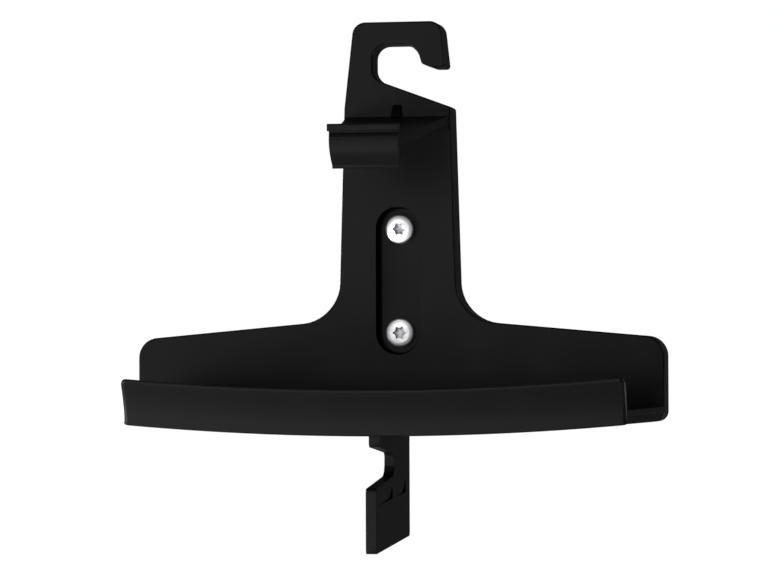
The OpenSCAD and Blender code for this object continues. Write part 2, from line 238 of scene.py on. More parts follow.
class Finishes(PropertyGroup):
    plastic: colour("Plastic", "#0A0A0B", "Colour of the moulded body")
    plastic_pale: colour("Plastic, pale", "#0C0C0D", "Its paler, drier patches")
    zinc: colour("Zinc", "#EDEDEE", "Colour of the screws")
    zinc_dull: colour("Zinc, dull", "#DDDEE0", "Their duller patches")
    # Painted shade: a greyer zinc drawn in the star recesses, where shade falls
    recess_painted_shade: colour("Zinc, recess", "#A4A4A8", "The greyer film that stays in the recesses")
    floor: colour("Floor", "#EFEFED", "Colour of the studio floor")
    grain: length("Grain", 0.3, "Size of the plastic's moulded grain")


class StudioSizes(PropertyGroup):
    floor_radius: length("Floor radius", 1150, "Radius of the round floor")
    floor_drop: length("Floor drop", 450, "From the origin down to the floor")
    surround: factor("Surround", 0.06, "Strength of the white background in reflections")
    lens: FloatProperty(
        name="Lens",
        description="Focal length of the camera, in millimetres",
        default=167.8,
        unit="CAMERA",
    )


class BracketSettings(PropertyGroup):
    plate: PointerProperty(type=PlateSizes, name="Plate", description="Sizes of the plate")
    hook: PointerProperty(type=HookSizes, name="Hook", description="Sizes of the hook")
    pocket: PointerProperty(type=PocketSizes, name="Pocket", description="Sizes of the pocket")
    tray: PointerProperty(type=TraySizes, name="Tray", description="Sizes of the tray")
    clip: PointerProperty(type=ClipSizes, name="Clip", description="Sizes of the clip")
    fin: PointerProperty(type=FinSizes, name="Fin", description="Sizes of the cable fin")
    screw: PointerProperty(type=ScrewSizes, name="Screws", description="Sizes of the screws")
    finish: PointerProperty(type=Finishes, name="Finishes", description="Colours and grain")
    studio: PointerProperty(type=StudioSizes, name="Studio", description="Floor and camera")


# Shapes


def facing(depth):
    """Places an (across, up) corner on an upright plane that faces the viewer."""
    return lambda across, up: Vector((across, depth, up))


def sideways(x):
    """Places a (depth, up) corner on an upright plane that faces sideways."""
    return lambda depth, up: Vector((x, depth, up))


def level(z):
    """Places an (across, depth) corner on a level plane."""
    return lambda across, depth: Vector((across, depth, z))


def bevel(bm, geom, radius, steps, affect="EDGES", clamp=True):
    """Rounds edges or corners, with the profile and material that the editor gives them."""
    bmesh.ops.bevel(
        bm,
        geom=geom,
        offset=radius,
        offset_type="OFFSET",
        segments=steps,
        profile=0.5,
        affect=affect,
        clamp_overlap=clamp,
        material=-1,
    )


def outline(corners, place, steps=8):
    """A flat face from corners (across, up, radius), each rounded where it has a radius."""
    bm = bmesh.new()
    verts = [bm.verts.new(place(c[0], c[1])) for c in corners]
    bm.faces.new(verts)
    points = [v.co.copy() for v in verts]
    for i, corner in enumerate(corners):
        radius = corner[2] if len(corner) > 2 else 0
        if radius > 0:
            back = points[i - 1] - points[i]
            ahead = points[(i + 1) % len(points)] - points[i]
            reach = radius / math.tan(back.angle(ahead) / 2)
            bevel(bm, [verts[i]], reach, steps, "VERTICES", clamp=False)
    return bm


def thicken(bm, along):
    """Turns a flat face into a solid."""
    made = bmesh.ops.extrude_face_region(bm, geom=bm.faces[:])
    moved = [g for g in made["geom"] if isinstance(g, bmesh.types.BMVert)]
    bmesh.ops.translate(bm, verts=moved, vec=along)
    bmesh.ops.recalc_face_normals(bm, faces=bm.faces[:])
    return bm


def side_solid(corners, half):
    """A solid drawn in side view as (depth, up) corners, that reaches half to either side."""
    return thicken(outline(corners, sideways(-half)), (2 * half, 0, 0))


def round_edges(bm, radius, wanted, steps=3):
    """Rounds the edges for whose two ends wanted is true."""
    edges = [e for e in bm.edges if all(wanted(v.co) for v in e.verts)]
    bevel(bm, edges, radius, steps)


def near(value, other):
    """Whether two places along one axis are the same."""
    return abs(value - other) < SAME


def slice_up(bm, axis, places):
    """Cuts the mesh across an axis, so that it can be bent."""
    normal = Vector((0, 0, 0))
    normal[axis] = 1
    for place in places:
        bmesh.ops.bisect_plane(
            bm,
            geom=bm.verts[:] + bm.edges[:] + bm.faces[:],
            dist=SNAP,
            plane_co=normal * place,
            plane_no=normal,
        )


def steps_between(low, high, count):
    """Evenly spaced places between two ends, without the ends."""
    return [low + (high - low) * i / count for i in range(1, count)]


def rise(plate, x):
    """Height of the curved bottom edge at x, above its middle."""
    return plate.edge_radius - math.sqrt(plate.edge_radius**2 - x * x)


def block(low, high):
    """A box between two corners."""
    bm = bmesh.new()
    low, high = Vector(low), Vector(high)
    bmesh.ops.create_cube(bm, size=1)
    bmesh.ops.scale(bm, verts=bm.verts[:], vec=high - low)
    bmesh.ops.translate(bm, verts=bm.verts[:], vec=(low + high) / 2)
    return bm


def rod(radius, back, front, z, segments=64):
    """A round rod from the depth back to the depth front, at height z."""
    bm = bmesh.new()
    middle = Matrix.Translation((0, (back + front) / 2, z))
    bmesh.ops.create_cone(
        bm,
        cap_ends=True,
        segments=segments,
        radius1=radius,
        radius2=radius,
        depth=back - front,
        matrix=middle @ Matrix.Rotation(math.pi / 2, 4, "X"),
    )
    return bm


def gather(*parts):
    """Puts several separate solids in one mesh."""
    bm = bmesh.new()
    for part in parts:
        mesh = bpy.data.meshes.new("part")
        part.to_mesh(mesh)
        part.free()
        bm.from_mesh(mesh)
        bpy.data.meshes.remove(mesh)
    return bm


def as_object(bm, name):
    """Puts a mesh in the scene under a name."""
    mesh = bpy.data.meshes.new(name)
    bm.to_mesh(mesh)
    bm.free()
    obj = bpy.data.objects.new(name, mesh)
    bpy.context.scene.collection.objects.link(obj)
    return obj


def mesh_of(obj):
    """A working copy of an object's mesh."""
    bm = bmesh.new()
    bm.from_mesh(obj.data)
    return bm


def put_back(bm, obj):
    """Gives an object its changed working copy."""
    bm.to_mesh(obj.data)
    bm.free()


def discard(obj):
    """Removes an object that only helped to shape another one."""
    mesh = obj.data
    bpy.data.objects.remove(obj)
    bpy.data.meshes.remove(mesh)


def take_mesh(obj):
    """The mesh of an object that only a Boolean needed."""
    bm = mesh_of(obj)
    discard(obj)
    return bm


def settle(obj):
    """Makes what the modifiers show the object's own mesh."""
    graph = bpy.context.evaluated_depsgraph_get()
    mesh = bpy.data.meshes.new_from_object(obj.evaluated_get(graph))
    obj.modifiers.clear()
    old = obj.data
    obj.data = mesh
    mesh.name = obj.name
    bpy.data.meshes.remove(old)


def triangulate(obj):
    """Three-sided faces are truly flat, which keeps the joined solids closed."""
    bm = mesh_of(obj)
    bmesh.ops.triangulate(bm, faces=bm.faces[:])
    put_back(bm, obj)


def combine(obj, operation, *solids):
    """Joins solids to the object one by one, or cuts them out of it."""
    for bm in solids:
        combine_with(obj, operation, as_object(bm, "tool"))
    return obj


def combine_with(obj, operation, tool):
    """Joins another object to this one, or cuts it out, and discards it."""
    for solid in (obj, tool):
        triangulate(solid)
    cut = obj.modifiers.new(operation, "BOOLEAN")
    cut.operation = operation
    cut.solver = "EXACT"
    cut.object = tool
    settle(obj)
    discard(tool)


def clear_slivers(obj):
    """Merges points and dissolves faces that the Booleans leave next to nothing in size."""
    bm = mesh_of(obj)
    bmesh.ops.remove_doubles(bm, verts=bm.verts[:], dist=SLIVER)
    bmesh.ops.dissolve_degenerate(bm, edges=bm.edges[:], dist=SLIVER)
    put_back(bm, obj)


def smooth(obj, degrees=32):
    """Smooth shading between the true edges, with the broad faces kept flat."""
    obj.data.polygons.foreach_set("use_smooth", [True] * len(obj.data.polygons))
    obj.data.set_sharp_from_angle(angle=math.radians(degrees))
    weighted = obj.modifiers.new("Flat faces", "WEIGHTED_NORMAL")
    weighted.keep_sharp = True
    weighted.weight = 100


# The moulded body


def neck_half(plate, z):
    """Half the neck's width at a height, which narrows upwards from the wings."""
    share = (z + plate.wing_root) / (plate.neck_height + plate.wing_root)
    return (plate.neck_base + (plate.neck_top - plate.neck_base) * share) / 2


def hook_half(plate, hook, z):
    """Half the hook's width over its outside at a height."""
    share = (z - plate.neck_height) / hook.height
    return (plate.neck_top + (hook.top_width - plate.neck_top) * share) / 2


def wing_corners(plate, side, inset=0):
    """One wing's outer end and its root at the neck, in the order of the plate's outline."""
    corners = [
        (side * (plate.width / 2 - inset), -plate.wing_end - inset, plate.wing_round - inset),
        (side * (plate.neck_base / 2 - inset), -plate.wing_root - inset, plate.root_round + inset),
    ]
    return corners if side > 0 else corners[::-1]


def hook_corners(plate, hook):
    """Up the opening's slanted lower edge, round it to the tip, and back over the hook's top."""
    base = plate.neck_height
    top = base + hook.height
    tip = base + hook.mouth
    tip_half = hook_half(plate, hook, tip)
    eye_top = top - hook.eye_bar
    return [
        (plate.neck_top / 2, base, hook.tip_round),
        (-hook.eye_left, base + hook.eye_rise, hook.eye_round),
        (-hook.eye_left, eye_top, hook.eye_round),
        (hook.eye_right - hook.tip_lean, eye_top, hook.tip_eye_round),
        (hook.eye_right, tip + hook.tip_rise, hook.tip_round),
        (tip_half - hook.tip_flat, tip, hook.tip_bend),
        (tip_half, tip, hook.tip_round),
        (hook.top_width / 2, top, hook.corner),
        (-hook.top_width / 2, top, hook.corner),
        (-plate.neck_top / 2, base, 0),
    ]


def bend_bottom(bm, plate, bottom):
    """Cuts the long bottom edge of an outline into short ones and bends it into its arc."""
    low = [e for e in bm.edges if all(near(v.co.z, bottom) for v in e.verts)]
    longest = max(low, key=lambda e: e.calc_length())
    bmesh.ops.subdivide_edges(bm, edges=[longest], cuts=RISE_SLICES - 1)
    for vert in bm.verts:
        if vert.co.z < bottom + plate.foot_round + LAP:
            vert.co.z += rise(plate, vert.co.x)


def plate_solid(plate, hook):
    """The plate with its wings, neck and hook, still solid, with a rounded front edge."""
    corners = [
        (-plate.width / 2, -plate.drop, plate.foot_round),
        (plate.width / 2, -plate.drop, plate.foot_round),
        *wing_corners(plate, 1),
        *hook_corners(plate, hook),
        *wing_corners(plate, -1),
    ]
    bm = outline(corners, facing(-plate.depth), steps=10)
    bend_bottom(bm, plate, -plate.drop)
    thicken(bm, (0, plate.depth, 0))
    round_edges(bm, plate.rim, lambda p: near(p.y, -plate.depth))
    return bm


def stadium(radius, half, back, front):
    """A slot-shaped solid round the two screws."""
    end = half + radius
    # The full radius would leave no edge at all between two corners
    bend = 0.99 * radius
    corners = [
        (-radius, -end, bend),
        (radius, -end, bend),
        (radius, end, bend),
        (-radius, end, bend),
    ]
    return thicken(outline(corners, facing(front), steps=16), (0, back - front, 0))


def pocket_floor(plate, pocket):
    """Depth of the pocket's floor, which the screw heads rest on."""
    return -plate.depth + pocket.depth


def hollow(plate, pocket):
    """The space behind the plate, less the ribs, the pocket's tub, the bosses and the seat."""
    wall = plate.wall
    front = -plate.depth + wall
    bottom, top = -plate.drop + wall, plate.neck_height - 2 * wall
    top_half = neck_half(plate, plate.neck_height) - wall
    corners = [
        (-plate.width / 2 + wall, bottom, plate.back_round),
        (plate.width / 2 - wall, bottom, plate.back_round),
        *wing_corners(plate, 1, wall),
        (top_half, top, plate.back_round),
        (-top_half, top, plate.back_round),
        *wing_corners(plate, -1, wall),
    ]
    bm = outline(corners, facing(front))
    bend_bottom(bm, plate, bottom)
    thicken(bm, (0, LAP - front, 0))
    space = as_object(bm, "hollow")
    # All that stays standing in the hollow runs into the front wall down to this depth
    deep = -plate.depth + wall / 2
    tub_half = pocket.radius + wall
    pitch = (plate.width / 2 - wall - tub_half) / (plate.ribs + 1)
    places = [s * (tub_half + i * pitch) for s in (-1, 1) for i in range(1, plate.ribs + 1)]
    ribs = [
        block((x - plate.rib / 2, deep, -plate.drop), (x + plate.rib / 2, -plate.rib_gap, 0))
        for x in places
    ]
    spine = block(
        (-plate.rib, deep, -plate.drop), (plate.rib, -plate.rib_gap, plate.neck_height)
    )
    half = pocket.screw_gap / 2
    tub = stadium(tub_half, half, pocket_floor(plate, pocket) + wall, deep)
    rods = [rod(pocket.boss / 2, 0, deep, s * half) for s in (-1, 1)]
    rods.append(rod(plate.seat / 2, 0, deep, 0))
    return combine(space, "DIFFERENCE", gather(*ribs, spine), tub, gather(*rods))


def wall_shift(plate, tray, x, up):
    """How far the front wall stands forward at x, at a height up above its foot."""
    share = up / tray.front_height
    curve = tray.lean * ((1 - tray.flare) * share + tray.flare * share * share)
    return curve + rise(plate, x) * tray.lean / tray.front_height


def foot_depth(plate, tray):
    """Depth of the front wall's outer foot."""
    slope = tray.lean / tray.front_height
    return -plate.depth - tray.bay - tray.front + slope * tray.floor_rise


def floor_solid(plate, tray):
    """The tray's floor, which narrows to the front wall and follows the curved bottom edge."""
    back_half = plate.width / 2
    front_half = tray.width / 2
    inner = -plate.depth - tray.bay
    middle = foot_depth(plate, tray) + tray.front / 2
    # Kept back from the plate's and the front wall's ends, so that no two faces share a plane
    inset = 0.3 * MM
    corners = [
        (-back_half + 3 * inset, -plate.depth + LAP),
        (back_half - 3 * inset, -plate.depth + LAP),
        (back_half - inset, -plate.depth),
        (front_half, inner),
        (front_half - inset, middle),
        (-front_half + inset, middle),
        (-front_half, inner),
        (-back_half + inset, -plate.depth),
    ]
    under = -plate.drop + tray.floor_rise - tray.floor
    bm = thicken(outline(corners, level(under)), (0, 0, tray.floor))

    def at_end(p, z):
        return near(p.z, z) and abs(p.x) > front_half - inset / 2 and p.y < -plate.depth + LAP / 2

    round_edges(bm, 2 * tray.edge, lambda p: at_end(p, under))
    round_edges(bm, tray.edge / 2, lambda p: at_end(p, under + tray.floor))
    slice_up(bm, 0, steps_between(-front_half, front_half, RISE_SLICES))
    for vert in bm.verts:
        if near(vert.co.y, middle):
            vert.co.y -= wall_shift(plate, tray, vert.co.x, vert.co.z + plate.drop)
        vert.co.z += rise(plate, vert.co.x)
    return bm


def front_solid(plate, tray):
    """The tray's front wall, which leans forward in a hollow curve."""
    half = tray.width / 2
    bottom, top = -plate.drop, -plate.drop + tray.front_height
    foot = foot_depth(plate, tray)
    lower_corner = tray.corner * 0.8
    corners = [
        (-half, bottom, lower_corner),
        (half, bottom, lower_corner),
        (half, top, tray.corner),
        (-half, top, tray.corner),
    ]
    bm = thicken(outline(corners, facing(foot)), (0, tray.front, 0))
    round_edges(bm, 2 * tray.edge, lambda p: near(p.y, foot + tray.front))
    round_edges(bm, tray.lip, lambda p: near(p.y, foot), 5)
    # One bevel ran all round the front, so its lower part shrinks to the foot's own radius
    for vert in bm.verts:
        if vert.co.z < bottom + tray.lip:
            vert.co.z = bottom + (vert.co.z - bottom) * tray.foot_edge / tray.lip
            if vert.co.y < foot + tray.lip:
                vert.co.y = foot + (vert.co.y - foot) * tray.foot_edge / tray.lip
    curve_slices = 7
    slice_up(bm, 0, steps_between(-half, half, RISE_SLICES))
    slice_up(bm, 2, steps_between(bottom + tray.corner, top - tray.corner, curve_slices))
    for vert in bm.verts:
        vert.co.y -= wall_shift(plate, tray, vert.co.x, vert.co.z + plate.drop)
        vert.co.z += rise(plate, vert.co.x)
    return bm


def arm_solid(plate, clip):
    """The arm slopes down to the lip and narrows towards it."""
    # How much narrower than the neck it starts on each side, and how far it runs into the lip
    inset, past = 0.6 * MM, 1.2 * MM
    edge = 0.4 * MM
    root = neck_half(plate, clip.arm_height) - inset
    lip = clip.width / 2
    front, end = -plate.depth, -plate.depth - clip.reach
    top, drop, thick = clip.arm_height, clip.arm_drop, clip.arm
    slope = drop / clip.reach
    corners = [
        (front + LAP, top),
        (front, top),
        (end - past, top - drop - past * slope),
        (end - past, top - drop - past * slope - thick),
        (front - thick, top - thick * (1 + slope), thick),
        (front, top - 2 * thick),
        (front + LAP, top - 2 * thick),
    ]
    bm = side_solid(corners, root)
    for vert in bm.verts:
        share = max(0, (front - vert.co.y) / clip.reach)
        vert.co.x *= 1 + (lip / root - 1) * share
    round_edges(bm, edge, lambda p: p.y < front + LAP / 2)
    return bm


def lip_solids(plate, clip):
    """The lip's section: a bead along its top, a groove, a belly and a tucked-in foot."""
    back = -plate.depth - clip.reach
    base = clip.arm_height - clip.arm_drop
    top, foot = base + clip.up, base - clip.arm - clip.down
    # Above the arm and at its foot, the lip's back stands this far forward
    rear = back - 0.4 * MM
    front = back - clip.lip
    groove = top - clip.bead
    groove_below = 0.2 * MM
    groove_round, hem_round, foot_round, end_round = 1 * MM, 0.7 * MM, 0.5 * MM, 0.6 * MM
    section = [
        (back + LAP, base),
        (rear, top - clip.edge),
        (front, top - clip.edge),
        (front + clip.groove, groove - groove_below, groove_round),
        (front - clip.step, base - clip.arm, clip.belly),
        (front + clip.tuck, foot + clip.hem, hem_round),
        (front + clip.tuck, foot, foot_round),
        (rear + clip.tuck, foot, clip.edge),
        (back + LAP, base - clip.arm),
    ]
    lip = side_solid(section, clip.width / 2)
    round_edges(lip, end_round, lambda p: near(abs(p.x), clip.width / 2))
    for vert in lip.verts:
        share = max(0, (groove - vert.co.z) / (groove - foot))
        vert.co.x *= 1 - share * clip.taper / clip.width
    half = clip.width / 2 + clip.bead_side
    # The bead's back lies this little inside the lip, so that no two faces share a plane
    bead_back = rear - 0.04 * MM
    section = [
        (bead_back, top, clip.edge),
        (front - clip.bead_out, top, clip.edge),
        (front - clip.bead_out, groove, clip.edge / 2),
        (bead_back, groove, clip.edge),
    ]
    bead = side_solid(section, half)
    round_edges(bead, end_round, lambda p: near(abs(p.x), half))
    return [lip, bead]


def gusset_solid(plate, clip):
    """The three-cornered gusset that stands on the arm against the plate."""
    front, base = -plate.depth, clip.arm_height
    half = clip.gusset_width / 2
    edge = 0.5 * MM
    corners = [
        (front + LAP, base - LAP),
        (front + LAP, base + clip.gusset),
        (front, base + clip.gusset),
        (front - clip.gusset, base - LAP),
    ]
    bm = side_solid(corners, half)
    round_edges(bm, edge, lambda p: p.y < front + LAP / 2)
    return bm


def fin_solid(plate, tray, fin):
    """The cable fin: a stem at the wall, a tab in front and the cable notch above the tab."""
    bottom = -plate.drop
    foot = bottom - fin.drop
    tab_top = foot + fin.tab
    roof = bottom - fin.roof
    roof_front = foot_depth(plate, tray) + fin.roof_back
    floor = bottom + tray.floor_rise - tray.floor / 2
    face = -plate.depth + plate.wall / 2
    corners = [
        (0, bottom + LAP),
        (0, foot + fin.rise, fin.corner),
        (-fin.reach, foot, fin.corner),
        (-fin.reach, tab_top, fin.corner),
        (-fin.stem, tab_top + fin.tab_fall, fin.notch_round),
        (-fin.stem, roof, fin.roof_round),
        (roof_front, roof + fin.roof_rise, fin.corner),
        (roof_front, floor),
        (face, floor),
        (face, bottom + LAP),
    ]
    half = fin.thickness / 2
    bm = side_solid(corners, half)
    round_edges(bm, fin.edge, lambda p: near(abs(p.x), half) and p.z < bottom + LAP / 2)
    return bm


def fin_steps(plate, fin):
    """Wedges that sink two steps in each side of the tab, parallel to its bottom edge."""
    foot = -plate.drop - fin.drop
    fall = math.atan(fin.rise / fin.reach)
    spans = [
        (fin.reach - fin.step_front, fin.stem + fin.step_gap / 2),
        (fin.stem - fin.step_gap / 2, fin.step_back),
    ]
    half = fin.thickness / 2
    base = foot + fin.rise + fin.tab - fin.ledge
    # Each step is shallow at its front end and deepest at its rear end
    shallow, deepest = 0.2, 1.25
    wedges = []
    for front, back in spans:
        for side in (-1, 1):
            corners = [(-fin.step_in, 0), (LAP, 0), (LAP, fin.fade), (0, fin.fade)]
            section = [(side * (half + a), b) for a, b in corners]
            bm = thicken(outline(section, facing(-front)), (0, front - back, 0))
            for vert in bm.verts:
                if near(abs(vert.co.x), half - fin.step_in):
                    share = shallow if near(vert.co.y, -front) else deepest
                    vert.co.x = side * (half - fin.step_in * share)
            turn = Matrix.Translation((0, 0, base)) @ Matrix.Rotation(fall, 4, "X")
            bmesh.ops.transform(bm, matrix=turn, verts=bm.verts[:])
            wedges.append(bm)
    return gather(*wedges)


def pocket_solid(plate, pocket):
    """What is cut out for the pocket, with a cove round its floor."""
    floor = pocket_floor(plate, pocket)
    bm = stadium(pocket.radius, pocket.screw_gap / 2, floor, -plate.depth - LAP)
    round_edges(bm, pocket.cove, lambda p: near(p.y, floor), 5)
    return bm


def round_pocket_rim(obj, plate, pocket):
    """Rounds the edge where the pocket meets the front face."""
    bm = mesh_of(obj)
    half = pocket.screw_gap / 2
    slack = 0.05 * MM

    def on_rim(p):
        off = math.hypot(p.x, max(0, abs(p.z) - half))
        return near(p.y, -plate.depth) and abs(off - pocket.radius) < slack

    round_edges(bm, pocket.rim, on_rim)
    put_back(bm, obj)


# Materials


def add(tree, kind, settings=None, **links):
    """Adds one node: settings are its properties, links its inputs, as a value or a socket.

    An input is given by its name, or by its number after an underscore.
    """
    node = tree.nodes.new(kind)
    for name, value in (settings or {}).items():
        setattr(node, name, value)
    for name, value in links.items():
        number = name[1:]
        socket = node.inputs[int(number) if number.isdigit() else name.replace("_", " ")]
        if isinstance(value, bpy.types.NodeSocket):
            tree.links.new(value, socket)
        else:
            socket.default_value = value
    return node


def new_material(name):
    """An empty material and its node tree."""
    material = bpy.data.materials.new(name)
    material.use_nodes = True
    material.node_tree.nodes.clear()
    return material, material.node_tree


def patches(tree, place, size, colours, roughness):
    """Soft patches of a size, over which the colour and the roughness drift between two values."""
    clouds = add(
        tree, "ShaderNodeTexNoise", Vector=place, Scale=1 / size, Detail=3.0, Roughness=0.5
    )
    # The noise hardly leaves the range from 0.3 to 0.7
    drift = clouds.outputs["Fac"]
    tint = add(
        tree, "ShaderNodeMix", {"data_type": "RGBA"}, _0=drift, _6=colours[0], _7=colours[1]
    )
    rough = add(
        tree,
        "ShaderNodeMapRange",
        Value=drift,
        From_Min=0.3,
        From_Max=0.7,
        To_Min=roughness[0],
        To_Max=roughness[1],
    )
    return tint.outputs[2], rough.outputs["Result"]


def moulded_plastic(finish):
    """Black ABS, injection moulded in a spark-textured tool."""
    # The tool's texture gives the eye an even, deep black: it breaks reflections up into a broad
    # soft sheen, and slightly drier patches lie where the melt cooled first. The real grain, near
    # 0.1 mm, would not show and is drawn as coarse as the finish says.
    patch = 14 * MM
    # The bracket mirrors far less of its surroundings than its IOR alone would give
    sheen = 0.05
    material, tree = new_material("abs_moulded_fine_texture")
    place = add(tree, "ShaderNodeTexCoord").outputs["Object"]
    grain = add(
        tree, "ShaderNodeTexNoise", Vector=place, Scale=1 / finish.grain, Detail=2.0, Roughness=0.6
    )
    colours = (finish.plastic, finish.plastic_pale)
    tint, rough = patches(tree, place, patch, colours, (0.33, 0.38))
    bump = add(
        tree, "ShaderNodeBump", Height=grain.outputs["Fac"], Strength=0.12, Distance=0.02 * MM
    )
    shader = add(
        tree,
        "ShaderNodeBsdfPrincipled",
        Base_Color=tint,
        Roughness=rough,
        Normal=bump.outputs["Normal"],
        IOR=1.53,
        Specular_IOR_Level=sheen,
    )
    add(tree, "ShaderNodeOutputMaterial", Surface=shader.outputs[0])
    return material


def plated_steel(finish, plate, pocket, screw):
    """Bright zinc-plated steel, turned, rolled and tumbled."""
    # The plating gives the eye a pale, slightly milky metal that blurs what it mirrors, with
    # duller spots and with faint rings from turning. The wave node draws a ring every third of
    # the length below, so they lie 0.6 mm apart. Real ones, near 0.15 mm, would not show.
    three_rings, spot = 2 * MM, 1.5 * MM
    material, tree = new_material("steel_zinc_plated")
    place = add(tree, "ShaderNodeTexCoord").outputs["Object"]
    parts = add(tree, "ShaderNodeSeparateXYZ", Vector=place)
    up = add(tree, "ShaderNodeMath", {"operation": "ABSOLUTE"}, _0=parts.outputs["Z"])
    half = pocket.screw_gap / 2
    off = add(tree, "ShaderNodeMath", {"operation": "SUBTRACT"}, _0=up.outputs[0], _1=half)
    # Measured from the middle of the nearer screw: across, out of the wall and up
    x, y, z = parts.outputs["X"], parts.outputs["Y"], off.outputs[0]
    round_axis = add(tree, "ShaderNodeCombineXYZ", X=x, Y=y, Z=z)
    rings = add(
        tree,
        "ShaderNodeTexWave",
        {"wave_type": "RINGS", "rings_direction": "Y"},
        Vector=round_axis.outputs[0],
        Scale=1 / three_rings,
        Distortion=1.5,
        Detail=2.0,
    )
    tint, rough = patches(tree, place, spot, (finish.zinc, finish.zinc_dull), (0.42, 0.52))
    # The recesses get a greyer zinc, which is painted shade for the shade that falls in them and
    # lets the star read from afar. The painted shade starts and is full at these depths below the
    # top of a head, and fades out between these shares of the star's width from its middle.
    shade_start, shade_full = 0.5 * MM, 1.2 * MM
    inner, outer = 0.5, 0.55
    front = pocket_floor(plate, pocket) - screw.head_height
    deep = add(
        tree,
        "ShaderNodeMapRange",
        Value=y,
        From_Min=front + shade_start,
        From_Max=front + shade_full,
    )
    flat = add(tree, "ShaderNodeCombineXYZ", X=x, Z=z)
    radius = add(tree, "ShaderNodeVectorMath", {"operation": "LENGTH"}, _0=flat.outputs[0])
    inside = add(
        tree,
        "ShaderNodeMapRange",
        Value=radius.outputs["Value"],
        From_Min=inner * screw.star,
        From_Max=outer * screw.star,
        To_Min=1.0,
        To_Max=0.0,
    )
    recess = add(
        tree, "ShaderNodeMath", {"operation": "MULTIPLY"}, _0=deep.outputs[0], _1=inside.outputs[0]
    )
    # The painted shade's colour, mixed in where the recess mask is high
    painted_shade = finish.recess_painted_shade
    shade = add(
        tree, "ShaderNodeMix", {"data_type": "RGBA"}, _0=recess.outputs[0], _6=tint, _7=painted_shade
    )
    bump = add(
        tree, "ShaderNodeBump", Height=rings.outputs["Fac"], Strength=0.06, Distance=0.01 * MM
    )
    shader = add(
        tree,
        "ShaderNodeBsdfPrincipled",
        Base_Color=shade.outputs[2],
        Metallic=1.0,
        Roughness=rough,
        Normal=bump.outputs["Normal"],
    )
    add(tree, "ShaderNodeOutputMaterial", Surface=shader.outputs[0])
    return material


def studio_paint(finish):
    """Matt white paint, rolled on."""
    # The roller's nap gives the eye a dry white without any highlight. Real nap, near 1 mm, is
    # drawn at 4 mm, as the floor lies far below the bracket.
    nap_size = 4 * MM
    material, tree = new_material("paint_matt_rolled")
    place = add(tree, "ShaderNodeTexCoord").outputs["Object"]
    nap = add(tree, "ShaderNodeTexNoise", Vector=place, Scale=1 / nap_size, Detail=2.0)
    bump = add(
        tree, "ShaderNodeBump", Height=nap.outputs["Fac"], Strength=0.05, Distance=0.05 * MM
    )
    shader = add(
        tree,
        "ShaderNodeBsdfPrincipled",
        Base_Color=finish.floor,
        Roughness=0.9,
        Normal=bump.outputs["Normal"],
    )
    add(tree, "ShaderNodeOutputMaterial", Surface=shader.outputs[0])
    return material


# Operators


class BRACKET_OT_body(Operator):
    """Builds the moulded body: plate, hook, pocket, tray, clip and cable fin"""

    bl_idname = "bracket.body"
    bl_label = "Moulded body"

    def execute(self, context):
        bracket = context.scene.bracket
        plate, pocket, tray, clip = bracket.plate, bracket.pocket, bracket.tray, bracket.clip
        body = as_object(plate_solid(plate, bracket.hook), "moulded_body")
        combine_with(body, "DIFFERENCE", hollow(plate, pocket))
        top = plate.neck_height + bracket.hook.height
        relief = block(
            (-plate.neck_top, -bracket.hook.relief, plate.neck_height),
            (plate.neck_top, LAP, top + LAP),
        )
        half = pocket.screw_gap / 2
        ahead = -plate.depth - LAP
        holes = [rod(pocket.hole / 2, LAP, ahead, s * half, segments=48) for s in (-1, 1)]
        combine(body, "DIFFERENCE", relief, gather(*holes))
        fin = as_object(fin_solid(plate, tray, bracket.fin), "fin")
        combine(fin, "DIFFERENCE", fin_steps(plate, bracket.fin))
        combine(
            body,
            "UNION",
            floor_solid(plate, tray),
            front_solid(plate, tray),
            arm_solid(plate, clip),
            *lip_solids(plate, clip),
            gusset_solid(plate, clip),
            take_mesh(fin),
        )
        combine(body, "DIFFERENCE", pocket_solid(plate, pocket))
        round_pocket_rim(body, plate, pocket)
        clear_slivers(body)
        smooth(body)
        body.data.materials.clear()
        body.data.materials.append(moulded_plastic(bracket.finish))
        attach(body, "root")
        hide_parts("bracket_body")
        return {"FINISHED"}


def spin(bm, geom, angle, steps, fall=0, merge=False):
    """Spins a shape round the Z axis, where each step may fall by a little."""
    bmesh.ops.spin(
        bm,
        geom=geom,
        cent=(0, 0, 0),
        axis=(0, 0, 1),
        dvec=(0, 0, -fall),
        angle=angle,
        steps=steps,
        use_merge=merge,
    )


def spin_round(bm, steps):
    """Spins an open line once round into a closed solid."""
    spin(bm, bm.verts[:] + bm.edges[:], 2 * math.pi, steps, merge=True)
    bmesh.ops.remove_doubles(bm, verts=bm.verts[:], dist=SAME)
    bmesh.ops.recalc_face_normals(bm, faces=bm.faces[:])


def head_solid(screw):
    """The pan head: half its section is drawn flat, and its outer edge is spun round."""
    half, high = screw.head / 2, screw.head_height
    under_round = 0.25 * MM
    # The upright side ends this far below the top, in a rounded shoulder
    side_drop, side_round = 0.9 * MM, 0.8 * MM
    # The crown bends at a place in from the side and below the top
    crown_in, crown_drop, crown_round = 1.45 * MM, 0.45 * MM, 3 * MM
    corners = [
        (0, 0),
        (half, 0, under_round),
        (half, high - side_drop, side_round),
        (half - crown_in, high - crown_drop, crown_round),
        (0, high),
    ]
    bm = outline(corners, facing(0), steps=6)
    bmesh.ops.delete(bm, geom=bm.faces[:], context="FACES_ONLY")
    axis = [e for e in bm.edges if all(near(v.co.x, 0) for v in e.verts)]
    bmesh.ops.delete(bm, geom=axis, context="EDGES")
    spin_round(bm, steps=64)
    return bm


